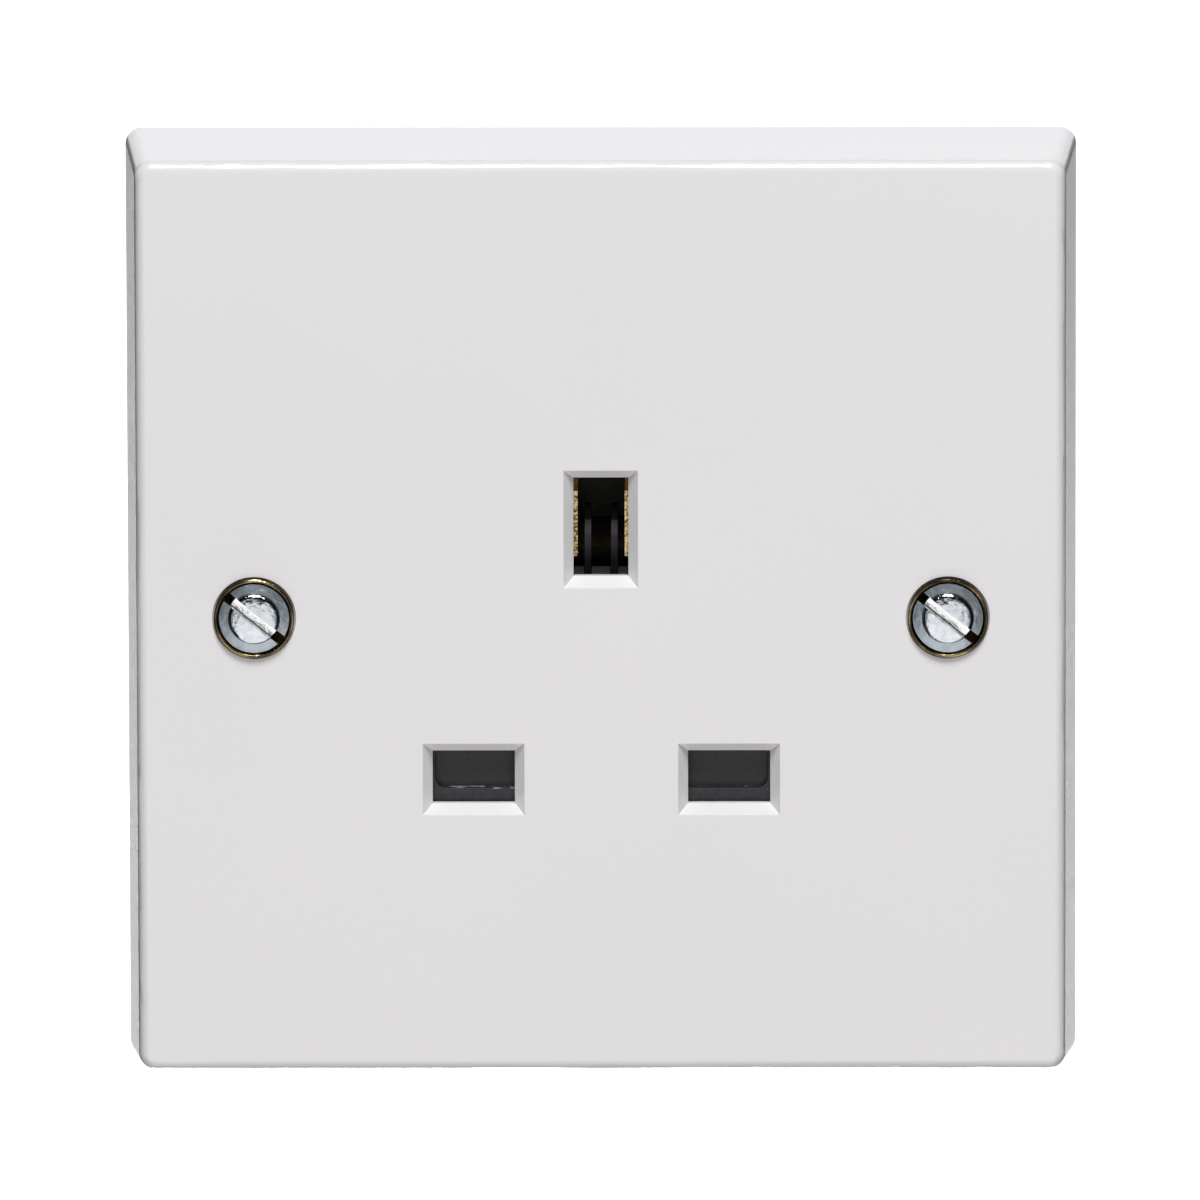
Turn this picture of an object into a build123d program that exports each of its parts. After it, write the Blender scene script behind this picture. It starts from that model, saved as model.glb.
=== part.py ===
from build123d import *
import os

os.makedirs("parts", exist_ok=True)

# All sizes are millimetres. The wall plane is Y = 0, the front faces -Y and +Z is up.

# Front plate
plate_size = 82.7
plate_depth = 10.75
side_draft = 5.58
corner_radius = 1.45
edge_radius = 1.0
rim_wall = 2.6
front_wall = 2.4
track_wall = 1.8
inner_corner = 2.0
rib_thick = 1.2

# Plug pins the socket is made for
pin_spacing = 22.23
pin_thick = 3.97
line_pin_width = 6.35
earth_pin_height = 7.92
line_pin_length = 17.7
earth_pin_length = 22.7
earth_height = 7.84

# Apertures
pin_play = 0.8
line_play = 0.7
bevel_width = 0.85
bevel_depth = 1.2

# Fixing screws and their eyelets
fixing_spacing = 60.3
screw_radius = 1.75
neck_radius = 1.45
head_radius = 3.05
head_edge = 0.12
head_sunk = 0.1
dome_radius = 2.27
dome_height = 0.5
crown_radius = 1.5
crown_drop = 0.12
ring_drop = 0.06
slot_width = 0.9
slot_depth = 0.95
slot_turn = -39.0
screw_reach = 16.0
tip_chamfer = 0.5
cup_wall = 0.3
cup_proud = 0.45
tube_wall = 0.4
rim_round = 0.14
clench_width = 0.9
clench_thick = 0.5
boss_wall = 1.7
boss_rib = 18.0

# Sheet brass
leaf_thick = 0.6
leaf_play = 0.06
bend_radius = 0.6
lip_length = 1.6
lip_flare = 0.7
line_clip_width = 6.6
earth_clip_height = 5.8
earth_clip_drop = 0.54
strap_thick = 0.6
strap_width = 4.5
tongue_width = 4.4
tongue_bite = 1.4
tongue_rise = 1.2

# Terminals
block_width = 8.4
block_depth = 8.0
block_height = 9.0
block_edge = 0.4
wire_radius = 2.4
terminal_screw_radius = 2.0
terminal_head_radius = 2.7
terminal_head_height = 1.6
terminal_shank = 5.0
terminal_slot_width = 0.8
terminal_slot_depth = 0.8

# Shutter
wing_thick = 2.0
body_thick = 3.0
body_half = 4.5
wing_lap = 0.25
side_lap = 0.8
travel_spare = 0.23
pocket_depth = 0.7
pocket_corner = 1.0
pocket_sill = 1.13
pocket_shift = 0.35
toe_lap = 0.35
ramp_rib_centre = 1.15
ramp_rib_width = 0.6
ramp_land = 0.8
ramp_web = 1.2
body_below_wing = 1.1

# Shutter spring
spring_radius = 1.2
wire_thick = 0.4
spring_length = 11.0
spring_pitch = 1.5
peg_radius = 0.7
shutter_peg = 2.2
seat_peg = 2.0
seat_thick = 1.6

# Rear base
base_wall = 2.6
deck_thick = 4.0
deck_front_wall = 1.4
base_cover = 1.1
base_corner = 1.2
base_edge = 0.6
core_wall = 1.8
ear_radius = 3.2
base_screw_radius = 1.25
base_head_radius = 2.6
base_head_height = 1.6
base_head_round = 0.8
base_screw_tip = 1.2

# Clearances
slide_gap = 0.25
fit_gap = 0.3
head_gap = 0.15
shank_gap = 0.25
bore_gap = 0.35

# Levels along Y
front_y = -plate_depth
inside_y = front_y + front_wall
track_y = front_y + track_wall
shutter_y = track_y + slide_gap
body_back_y = shutter_y + body_thick
deck_y = body_back_y + bore_gap
deck_back_y = deck_y + deck_thick
strap_y = deck_y - strap_thick
line_web_y = front_y + line_pin_length + leaf_thick
earth_web_y = front_y + earth_pin_length + fit_gap
block_y = line_web_y - block_depth
bore_y = block_y + block_depth / 2
base_back_y = earth_web_y + leaf_thick + base_cover

# Places across the face
fixing_x = fixing_spacing / 2
line_x = pin_spacing / 2
line_z = earth_height - pin_spacing
line_aperture_width = line_pin_width + pin_play
line_aperture_height = pin_thick + line_play
earth_aperture_width = pin_thick + pin_play
earth_aperture_height = earth_pin_height + pin_play
leaf_half = pin_thick / 2 + leaf_play
leaf_centre = leaf_half + leaf_thick / 2
clip_half = leaf_half + leaf_thick + lip_flare

line_block_z = line_z + leaf_half + leaf_thick + fit_gap + bore_gap + block_height / 2
earth_clip_top = earth_height + earth_clip_height / 2 - earth_clip_drop
earth_clip_bottom = earth_clip_top - earth_clip_height
earth_step_z = earth_clip_top + lip_flare
tongue_z = earth_step_z + leaf_thick + fit_gap + tongue_rise
earth_block_z = tongue_z + strap_thick + block_height / 2

# Shutter places at rest, closed and pushed up by its spring
shutter_travel = pin_thick + line_play / 2 + wing_lap + travel_spare
wing_top = line_z + line_aperture_height / 2 + wing_lap
wing_bottom = line_z - line_aperture_height / 2 - wing_lap
wing_half = line_x + line_aperture_width / 2 + side_lap
toe_z = earth_height - earth_pin_height / 2
body_top = toe_z - toe_lap
body_bottom = wing_bottom - body_below_wing
ramp_top = toe_z + shutter_travel
ramp_top_y = shutter_y + shutter_travel
spring_y = shutter_y + body_thick / 2
seat_z = body_bottom - spring_length
guide_x = body_half + fit_gap

# Rear base places
pocket_half = block_width / 2 + fit_gap
base_half = line_x + pocket_half + base_wall
base_bottom = line_z - clip_half - fit_gap - base_wall
base_top = earth_block_z + block_height / 2 + fit_gap + base_wall
line_pocket_top = line_block_z + block_height / 2 + fit_gap
tower_top = line_pocket_top + base_wall
tower_half = pocket_half + base_wall
earth_open_half = clip_half + fit_gap
ear_x = base_half + base_head_radius + fit_gap
ear_z = earth_height
ear_hole = base_screw_radius + shank_gap

# Eyelet and screw head places
cup_inner = head_radius + head_gap
cup_outer = cup_inner + cup_wall
cup_rim_y = front_y - cup_proud
head_rim_y = cup_rim_y + head_sunk
head_cone_y = head_rim_y + ring_drop + head_edge
# The countersinks are square cones, so a gap or a wall is this much longer along the axis
cone_slant = 2**0.5
cup_cone_y = head_cone_y + (cone_slant - 1) * head_gap
cup_back_y = cup_cone_y + (cone_slant - 1) * cup_wall
seat_cone_y = cup_back_y + (cone_slant - 1) * head_gap
seat_radius = cup_outer + head_gap
tube_inner = screw_radius + bore_gap
tube_outer = tube_inner + tube_wall
clench_radius = tube_outer + clench_width
clench_y = deck_y + clench_thick
thread_start_y = clench_y + fit_gap
tube_hole = tube_outer + head_gap
fixing_boss = tube_hole + boss_wall

apertures = (
    (line_x, line_z, line_aperture_width, line_aperture_height),
    (-line_x, line_z, line_aperture_width, line_aperture_height),
    (0.0, earth_height, earth_aperture_width, earth_aperture_height),
)


def level(y):
    """A sketch plane across the socket at depth y, drawn as seen from the front."""
    return Plane.XZ.offset(-y)


# Front plate: one white moulding, hollow at the back, with the pin apertures,
# the bosses for the eyelets and base screws, and the track the shutter slides in
with BuildPart() as front_plate:
    with BuildSketch(level(0)):
        Rectangle(plate_size, plate_size)
    extrude(amount=plate_depth, taper=side_draft)
    corners = front_plate.edges().filter_by_position(Axis.Y, -plate_depth * 0.6, -plate_depth * 0.4)
    fillet(corners, corner_radius)
    fillet(front_plate.faces().sort_by(Axis.Y)[0].edges(), edge_radius)
    with BuildSketch(level(0)):
        RectangleRounded(plate_size - 2 * rim_wall, plate_size - 2 * rim_wall, inner_corner)
    extrude(amount=plate_depth - front_wall, mode=Mode.SUBTRACT, taper=side_draft)
    # Bosses
    with BuildSketch(level(inside_y)):
        with Locations((-fixing_x, 0), (fixing_x, 0)):
            Circle(fixing_boss)
            Rectangle(rib_thick, boss_rib)
    extrude(amount=inside_y - strap_y)
    with BuildSketch(level(inside_y)):
        with Locations((-ear_x, ear_z), (ear_x, ear_z)):
            Circle(ear_radius)
    extrude(amount=inside_y - deck_y)
    # Shutter track
    with BuildSketch(level(inside_y)):
        with Locations((0, wing_top + fit_gap)):
            Rectangle(
                2 * (wing_half + fit_gap),
                wing_top - wing_bottom + shutter_travel + 2 * fit_gap,
                align=(Align.CENTER, Align.MAX),
            )
        with Locations((0, seat_z)):
            Rectangle(2 * guide_x, body_top + fit_gap - seat_z, align=(Align.CENTER, Align.MIN))
    extrude(amount=front_wall - track_wall, mode=Mode.SUBTRACT)
    # Guides beside the shutter's body, and the spring's seat below it
    with BuildSketch(level(inside_y)):
        for side in (-1, 1):
            with Locations((side * (guide_x + rib_thick / 2), wing_top + fit_gap + slide_gap)):
                Rectangle(
                    rib_thick,
                    body_top - wing_top - fit_gap - slide_gap,
                    align=(Align.CENTER, Align.MIN),
                )
            with Locations((side * (guide_x + rib_thick / 2), seat_z)):
                Rectangle(
                    rib_thick,
                    wing_bottom - shutter_travel - 2 * fit_gap - seat_z,
                    align=(Align.CENTER, Align.MIN),
                )
    extrude(amount=inside_y - deck_y + slide_gap)
    with BuildSketch(level(track_y)):
        with Locations((0, seat_z)):
            Rectangle(2 * (guide_x + rib_thick), seat_thick, align=(Align.CENTER, Align.MAX))
    extrude(amount=track_y - deck_y + slide_gap)
    with BuildSketch(Plane.XY.offset(seat_z)):
        with Locations((0, spring_y)):
            Circle(peg_radius)
    extrude(amount=seat_peg)
    # Pin apertures with bevelled mouths
    for x, z, width, height in apertures:
        with BuildSketch(level(front_y)):
            with Locations((x, z)):
                Rectangle(width + 2 * bevel_width, height + 2 * bevel_width)
        with BuildSketch(level(front_y + bevel_depth)):
            with Locations((x, z)):
                Rectangle(width, height)
        loft(mode=Mode.SUBTRACT)
        with BuildSketch(level(front_y)):
            with Locations((x, z)):
                Rectangle(width, height)
        extrude(amount=-front_wall, mode=Mode.SUBTRACT)
    # Countersunk eyelet seats, and base screw pilots
    for x in (-fixing_x, fixing_x):
        with BuildSketch(Plane.XY):
            with BuildLine():
                Polyline(
                    (x, front_y),
                    (x + seat_radius, front_y),
                    (x + seat_radius, seat_cone_y),
                    (x + tube_hole, seat_cone_y + seat_radius - tube_hole),
                    (x + tube_hole, 0),
                    (x, 0),
                    close=True,
                )
            make_face()
        revolve(axis=Axis((x, 0, 0), (0, 1, 0)), mode=Mode.SUBTRACT)
    with BuildSketch(level(deck_y)):
        with Locations((-ear_x, ear_z), (ear_x, ear_z)):
            Circle(ear_hole)
    extrude(amount=deck_y - front_y - base_screw_tip, mode=Mode.SUBTRACT)
front_plate.part.label = "front_plate"
export_step(front_plate.part, "parts/front_plate.step")

# Shutter: one dark moulding, two wings behind the line and neutral apertures and a
# twin-rib ramp behind the earth aperture that the longer earth pin pushes down
with BuildPart() as shutter:
    with BuildSketch(level(shutter_y)):
        with Locations((0, body_bottom)):
            Rectangle(2 * body_half, body_top - body_bottom, align=(Align.CENTER, Align.MIN))
    extrude(amount=-body_thick)
    with BuildSketch(level(shutter_y)):
        with Locations((0, wing_bottom)):
            Rectangle(2 * wing_half, wing_top - wing_bottom, align=(Align.CENTER, Align.MIN))
    extrude(amount=-wing_thick)
    with BuildSketch(level(shutter_y)) as wing_pockets:
        with Locations((pocket_shift - line_x, wing_top), (line_x - pocket_shift, wing_top)):
            Rectangle(
                line_aperture_width + wing_lap,
                wing_lap + line_aperture_height - pocket_sill,
                align=(Align.CENTER, Align.MAX),
            )
        fillet(wing_pockets.vertices().group_by(Axis.Z)[0], pocket_corner)
    extrude(amount=-pocket_depth, mode=Mode.SUBTRACT)
    with BuildSketch(Plane.YZ.offset(ramp_rib_centre - ramp_rib_width / 2)):
        with BuildLine():
            Polyline(
                (shutter_y, body_top - ramp_web),
                (shutter_y, toe_z),
                (ramp_top_y, ramp_top),
                (ramp_top_y + ramp_land, ramp_top),
                (ramp_top_y + ramp_land, ramp_top - ramp_web),
                (body_back_y, body_top - ramp_web),
                close=True,
            )
        make_face()
    ramp = extrude(amount=ramp_rib_width)
    mirror(ramp, about=Plane.YZ)
    with BuildSketch(Plane.XY.offset(body_bottom)):
        with Locations((0, spring_y)):
            Circle(peg_radius)
    extrude(amount=-shutter_peg)
shutter.part.label = "shutter"
export_step(shutter.part, "parts/shutter.step")

# Shutter spring: a steel compression coil between the seat and the shutter's body
with BuildPart() as shutter_spring:
    with BuildLine() as coil:
        Helix(
            pitch=spring_pitch,
            height=spring_length - 2 * wire_thick,
            radius=spring_radius,
            center=(0, spring_y, seat_z + wire_thick),
        )
    with BuildSketch(Plane(origin=coil.line @ 0, z_dir=coil.line % 0)):
        Circle(wire_thick / 2)
    sweep(path=coil.line, is_frenet=True)
shutter_spring.part.label = "shutter_spring"
export_step(shutter_spring.part, "parts/shutter_spring.step")

# Rear base: one dark moulding that carries the contacts and terminals, open at the
# back for wiring, with two ears screwed to the plate
with BuildPart() as rear_base:
    with BuildSketch(level(deck_y)):
        with Locations((0, base_bottom)):
            Rectangle(2 * base_half, base_top - base_bottom, align=(Align.CENTER, Align.MIN))
        with Locations((0, ear_z)):
            SlotCenterToCenter(2 * ear_x, 2 * ear_radius)
    extrude(amount=-deck_thick)
    with BuildSketch(level(deck_y)):
        with Locations((0, base_bottom)):
            Rectangle(2 * base_half, tower_top - base_bottom, align=(Align.CENTER, Align.MIN))
            Rectangle(2 * tower_half, base_top - base_bottom, align=(Align.CENTER, Align.MIN))
    extrude(amount=deck_y - base_back_y)
    fillet(rear_base.edges().filter_by(Axis.Y).filter_by(GeomType.LINE), base_corner)
    chamfer(rear_base.faces().sort_by(Axis.Y)[-1].edges(), base_edge)
    # Line and neutral pockets, open at the back
    for side in (-1, 1):
        with BuildSketch(level(base_back_y)):
            with Locations((side * line_x, line_z - clip_half - fit_gap)):
                Rectangle(
                    2 * pocket_half,
                    2 * clip_half + fit_gap,
                    align=(Align.CENTER, Align.MIN),
                )
        extrude(amount=base_back_y - deck_y - deck_front_wall, mode=Mode.SUBTRACT)
        with BuildSketch(level(base_back_y)):
            with Locations((side * line_x, line_pocket_top)):
                Rectangle(
                    2 * pocket_half,
                    line_pocket_top - line_z,
                    align=(Align.CENTER, Align.MAX),
                )
        extrude(amount=base_back_y - block_y + fit_gap, mode=Mode.SUBTRACT)
        with BuildSketch(level(deck_y)):
            with Locations((side * line_x, line_z)):
                Rectangle(line_aperture_width, line_aperture_height)
        extrude(amount=-deck_thick, mode=Mode.SUBTRACT)
        # Wire notch in the side wall
        with BuildSketch(level(base_back_y)):
            with Locations((side * (base_half + base_wall), line_block_z)):
                Rectangle(4 * base_wall, 2 * (wire_radius + fit_gap))
        extrude(amount=base_back_y - bore_y + wire_radius + fit_gap, mode=Mode.SUBTRACT)
    # Earth terminal pocket, open at the back
    with BuildSketch(level(base_back_y)):
        with Locations((0, earth_step_z - fit_gap)):
            Rectangle(
                2 * pocket_half,
                earth_block_z + block_height / 2 + 2 * fit_gap - earth_step_z,
                align=(Align.CENTER, Align.MIN),
            )
    extrude(amount=base_back_y - block_y + fit_gap, mode=Mode.SUBTRACT)
    with BuildSketch(level(base_back_y)):
        with Locations((0, base_top)):
            Rectangle(2 * (wire_radius + fit_gap), 4 * base_wall)
    extrude(amount=base_back_y - bore_y + wire_radius + fit_gap, mode=Mode.SUBTRACT)
    # Earth clip pocket, open at the front and closed at the back
    with BuildSketch(level(deck_y)):
        with Locations((0, earth_clip_bottom - fit_gap)):
            Rectangle(
                2 * earth_open_half,
                earth_step_z + leaf_thick + fit_gap - earth_clip_bottom,
                align=(Align.CENTER, Align.MIN),
            )
    extrude(amount=deck_y - earth_web_y - leaf_thick, mode=Mode.SUBTRACT)
    # Room for the ramp as it goes down, and for the strap's tongue above
    with BuildSketch(level(deck_y)):
        with Locations((0, body_top - ramp_web - shutter_travel - fit_gap)):
            Rectangle(
                2 * earth_open_half,
                tongue_z + strap_thick + 2 * fit_gap - body_top + ramp_web + shutter_travel,
                align=(Align.CENTER, Align.MIN),
            )
    extrude(amount=deck_y - block_y, mode=Mode.SUBTRACT)
    # Core between the line and neutral pockets
    with BuildSketch(level(base_back_y)):
        with Locations((0, base_bottom + core_wall)):
            Rectangle(
                2 * (line_x - pocket_half - core_wall),
                earth_clip_bottom - fit_gap - base_bottom - 2 * core_wall,
                align=(Align.CENTER, Align.MIN),
            )
    extrude(amount=base_back_y - block_y - core_wall, mode=Mode.SUBTRACT)
    with BuildSketch(level(deck_y)):
        with Locations((-ear_x, ear_z), (ear_x, ear_z)):
            Circle(ear_hole)
    extrude(amount=-deck_thick, mode=Mode.SUBTRACT)
rear_base.part.label = "rear_base"
export_step(rear_base.part, "parts/rear_base.step")

# Line and neutral contacts: folded brass clips, each with a tail for its terminal
lip_y = deck_y + deck_front_wall + fit_gap + leaf_thick / 4
tail_y = line_web_y + leaf_thick / 2
for side, name in ((1, "live_contact"), (-1, "neutral_contact")):
    with BuildPart() as line_contact:
        with BuildSketch(Plane.YZ.offset(side * line_x)):
            with BuildLine():
                FilletPolyline(
                    (lip_y, line_z - leaf_centre - lip_flare),
                    (lip_y + lip_length, line_z - leaf_centre),
                    (tail_y, line_z - leaf_centre),
                    (tail_y, line_block_z + block_height / 2),
                    radius=bend_radius,
                )
            trace(line_width=leaf_thick)
        extrude(amount=line_clip_width / 2, both=True)
        with BuildSketch(Plane.YZ.offset(side * line_x)):
            with BuildLine():
                FilletPolyline(
                    (lip_y, line_z + leaf_centre + lip_flare),
                    (lip_y + lip_length, line_z + leaf_centre),
                    (tail_y, line_z + leaf_centre),
                    radius=bend_radius,
                )
            trace(line_width=leaf_thick)
        extrude(amount=line_clip_width / 2, both=True)
        with BuildSketch(level(line_web_y)):
            with Locations((side * line_x, line_block_z)):
                Circle(terminal_screw_radius + bore_gap)
        extrude(amount=-leaf_thick, mode=Mode.SUBTRACT)
    line_contact.part.label = name
    export_step(line_contact.part, f"parts/{name}.step")

# Earth contact: a brass U gripping the pin from both sides, with a stepped tail
earth_lip_y = deck_y - leaf_thick / 2
earth_back_y = earth_web_y + leaf_thick / 2
with BuildPart() as earth_contact:
    with BuildSketch(Plane.XY.offset(earth_clip_bottom)):
        with BuildLine():
            FilletPolyline(
                (leaf_centre, earth_lip_y),
                (leaf_centre, earth_back_y),
                (-leaf_centre, earth_back_y),
                (-leaf_centre, earth_lip_y),
                radius=bend_radius,
            )
        trace(line_width=leaf_thick)
    extrude(amount=earth_clip_height)
    # The fold is cut away below the pin's middle
    with BuildSketch(level(earth_web_y + leaf_thick)):
        with Locations((0, earth_height)):
            Rectangle(2 * clip_half, earth_clip_height, align=(Align.CENTER, Align.MAX))
    extrude(amount=leaf_thick + bend_radius, mode=Mode.SUBTRACT)
    with BuildSketch(Plane.YZ):
        with BuildLine():
            FilletPolyline(
                (earth_back_y, earth_clip_top),
                (earth_back_y, earth_step_z + leaf_thick / 2),
                (tail_y, earth_step_z + leaf_thick / 2),
                (tail_y, earth_block_z + block_height / 2),
                radius=bend_radius,
            )
        trace(line_width=leaf_thick)
    extrude(amount=line_clip_width / 2, both=True)
    with BuildSketch(level(line_web_y)):
        with Locations((0, earth_block_z)):
            Circle(terminal_screw_radius + bore_gap)
    extrude(amount=-leaf_thick, mode=Mode.SUBTRACT)
earth_contact.part.label = "earth_contact"
export_step(earth_contact.part, "parts/earth_contact.step")

# Terminals: brass blocks with a wire bore, sideways for line and neutral and upright
# for earth, each with a clamping screw backed out clear of the bore
for side, block_z, name in (
    (1, line_block_z, "live_terminal"),
    (-1, line_block_z, "neutral_terminal"),
    (0, earth_block_z, "earth_terminal"),
):
    with BuildPart() as terminal:
        with BuildSketch(level(block_y)):
            with Locations((side * line_x, block_z)):
                Rectangle(block_width, block_height)
        extrude(amount=-block_depth)
        chamfer(terminal.edges().filter_by(Axis.Y), block_edge)
        if side == 0:
            with BuildSketch(Plane.XY.offset(block_z)):
                with Locations((0, bore_y)):
                    Circle(wire_radius)
            extrude(amount=block_height, both=True, mode=Mode.SUBTRACT)
        else:
            with BuildSketch(Plane.YZ.offset(side * line_x)):
                with Locations((bore_y, block_z)):
                    Circle(wire_radius)
            extrude(amount=block_width, both=True, mode=Mode.SUBTRACT)
        with BuildSketch(level(line_web_y)):
            with Locations((side * line_x, block_z)):
                Circle(terminal_screw_radius + shank_gap)
        extrude(amount=block_depth / 2, mode=Mode.SUBTRACT)
    terminal.part.label = name
    export_step(terminal.part, f"parts/{name}.step")

    tip_y = bore_y + wire_radius + slide_gap
    seat_y = tip_y + terminal_shank
    with BuildPart() as terminal_screw:
        with BuildSketch(level(tip_y)):
            with Locations((side * line_x, block_z)):
                Circle(terminal_screw_radius)
        extrude(amount=-terminal_shank)
        with BuildSketch(level(seat_y)):
            with Locations((side * line_x, block_z)):
                Circle(terminal_head_radius)
        extrude(amount=-terminal_head_height)
        with BuildSketch(level(seat_y + terminal_head_height)):
            with Locations((side * line_x, block_z)):
                Rectangle(3 * terminal_head_radius, terminal_slot_width)
        extrude(amount=terminal_slot_depth, mode=Mode.SUBTRACT)
    terminal_screw.part.label = name + "_screw"
    export_step(terminal_screw.part, f"parts/{name}_screw.step")

# Fixing screws with raised countersunk heads, and the brass eyelets they sit in
for side, name in ((-1, "left"), (1, "right")):
    screw_x = side * fixing_x
    screw_axis = Axis((screw_x, 0, 0), (0, 1, 0))
    with BuildPart() as fixing_screw:
        with BuildSketch(Plane.XY):
            with BuildLine():
                crown = TangentArc(
                    (screw_x, head_rim_y - dome_height),
                    (screw_x + crown_radius, head_rim_y - dome_height + crown_drop),
                    tangent=(1, 0),
                )
                TangentArc(crown @ 1, (screw_x + dome_radius, head_rim_y), tangent=crown % 1)
                Polyline(
                    (screw_x + dome_radius, head_rim_y),
                    (screw_x + head_radius, head_rim_y + ring_drop),
                    (screw_x + head_radius, head_cone_y),
                    (screw_x + neck_radius, head_cone_y + head_radius - neck_radius),
                    (screw_x + neck_radius, thread_start_y),
                    (screw_x + screw_radius, thread_start_y),
                    (screw_x + screw_radius, screw_reach - tip_chamfer),
                    (screw_x + screw_radius - tip_chamfer, screw_reach),
                    (screw_x, screw_reach),
                    (screw_x, head_rim_y - dome_height),
                )
            make_face()
        revolve(axis=screw_axis)
        with BuildSketch(level(head_rim_y - dome_height)):
            with Locations((screw_x, 0)):
                Rectangle(3 * head_radius, slot_width, rotation=slot_turn)
        extrude(amount=-dome_height - slot_depth, mode=Mode.SUBTRACT)
    fixing_screw.part.label = f"fixing_screw_{name}"
    export_step(fixing_screw.part, f"parts/fixing_screw_{name}.step")

    with BuildPart() as eyelet:
        with BuildSketch(Plane.XY) as eyelet_profile:
            with BuildLine():
                Polyline(
                    (screw_x + cup_inner, cup_rim_y),
                    (screw_x + cup_outer, cup_rim_y),
                    (screw_x + cup_outer, cup_back_y),
                    (screw_x + tube_outer, cup_back_y + cup_outer - tube_outer),
                    (screw_x + tube_outer, deck_y),
                    (screw_x + clench_radius, deck_y),
                    (screw_x + clench_radius, clench_y),
                    (screw_x + tube_inner, clench_y),
                    (screw_x + tube_inner, cup_cone_y + cup_inner - tube_inner),
                    (screw_x + cup_inner, cup_cone_y),
                    close=True,
                )
            make_face()
            fillet(eyelet_profile.vertices().group_by(Axis.Y)[0], rim_round)
        revolve(axis=screw_axis)
    eyelet.part.label = f"fixing_eyelet_{name}"
    export_step(eyelet.part, f"parts/fixing_eyelet_{name}.step")

    # Base screw through each ear into the plate's boss
    with BuildPart() as base_screw:
        with BuildSketch(level(deck_back_y)):
            with Locations((side * ear_x, ear_z)):
                Circle(base_head_radius)
        extrude(amount=-base_head_height)
        fillet(base_screw.faces().sort_by(Axis.Y)[-1].edges(), base_head_round)
        with BuildSketch(level(deck_back_y)):
            with Locations((side * ear_x, ear_z)):
                Circle(base_screw_radius)
        extrude(amount=deck_back_y - front_y - base_screw_tip - fit_gap)
        with BuildSketch(level(deck_back_y + base_head_height)):
            with Locations((side * ear_x, ear_z)):
                Rectangle(3 * base_head_radius, terminal_slot_width)
        extrude(amount=terminal_slot_depth, mode=Mode.SUBTRACT)
    base_screw.part.label = f"base_screw_{name}"
    export_step(base_screw.part, f"parts/base_screw_{name}.step")

# Earth strap: flat brass across the base's front, clenched under both eyelets, with a
# tongue folded back onto the earth terminal
strap_top = tongue_z + strap_width
leg_half = strap_width / 2
with BuildPart() as earth_strap:
    with BuildSketch(level(strap_y)):
        with BuildLine():
            Polyline(
                (0, strap_top),
                (fixing_x, strap_top),
                (fixing_x + leg_half, strap_top - leg_half),
                (fixing_x + leg_half, 0),
                (fixing_x - leg_half, 0),
                (fixing_x - leg_half, tongue_z),
                (0, tongue_z),
                close=True,
            )
        make_face()
        mirror(about=Plane.YZ)
        with Locations((-fixing_x, 0), (fixing_x, 0)):
            Circle(fixing_boss)
            Circle(tube_hole, mode=Mode.SUBTRACT)
    extrude(amount=-strap_thick)
    with BuildSketch(Plane.XY.offset(tongue_z)):
        with Locations((0, strap_y)):
            Rectangle(tongue_width, block_y + tongue_bite - strap_y, align=(Align.CENTER, Align.MIN))
    extrude(amount=strap_thick)
earth_strap.part.label = "earth_strap"
export_step(earth_strap.part, "parts/earth_strap.step")
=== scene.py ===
import math

import bmesh
import bpy
from mathutils import Matrix, Vector


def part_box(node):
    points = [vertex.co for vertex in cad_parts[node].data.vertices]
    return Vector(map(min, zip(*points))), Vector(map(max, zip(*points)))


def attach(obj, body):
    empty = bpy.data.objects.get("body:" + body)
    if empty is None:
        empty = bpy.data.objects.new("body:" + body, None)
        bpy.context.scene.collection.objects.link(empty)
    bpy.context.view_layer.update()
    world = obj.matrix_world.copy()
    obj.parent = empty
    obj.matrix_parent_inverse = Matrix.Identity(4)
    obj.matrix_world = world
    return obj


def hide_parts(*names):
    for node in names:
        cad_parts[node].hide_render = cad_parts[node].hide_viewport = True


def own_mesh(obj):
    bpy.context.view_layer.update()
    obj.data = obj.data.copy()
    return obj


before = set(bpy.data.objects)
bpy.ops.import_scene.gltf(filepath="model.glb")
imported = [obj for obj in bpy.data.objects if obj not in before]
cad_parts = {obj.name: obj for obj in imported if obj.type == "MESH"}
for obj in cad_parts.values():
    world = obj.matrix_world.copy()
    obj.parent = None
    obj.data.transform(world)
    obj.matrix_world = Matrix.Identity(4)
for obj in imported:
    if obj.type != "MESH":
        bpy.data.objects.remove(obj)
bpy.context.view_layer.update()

# Front plate
# A compression moulding in white urea, hollow at the back, with three bevelled pin
# apertures. It carries every other piece and lies against the wall by its rim.
MM = 0.001
PLATE_EDGE = 0.09 * MM
SHARP_ANGLE = math.radians(28.0)
FLAT_ANGLE = math.radians(0.4)
CORNER_GAP = 0.0008 * MM


def set_out(name, data):
    """A new object in the scene."""
    made = bpy.data.objects.new(name, data)
    bpy.context.scene.collection.objects.link(made)
    return made


def as_piece(shape, name):
    """A piece of what was drawn."""
    mesh = bpy.data.meshes.new(name)
    shape.to_mesh(mesh)
    shape.free()
    return set_out(name, mesh)


def settled(piece):
    """Bakes a piece's modifiers into its mesh."""
    bpy.context.view_layer.update()
    graph = bpy.context.evaluated_depsgraph_get()
    mesh = bpy.data.meshes.new_from_object(piece.evaluated_get(graph))
    piece.modifiers.clear()
    piece.data = mesh
    mesh.name = piece.name
    return piece


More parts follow.
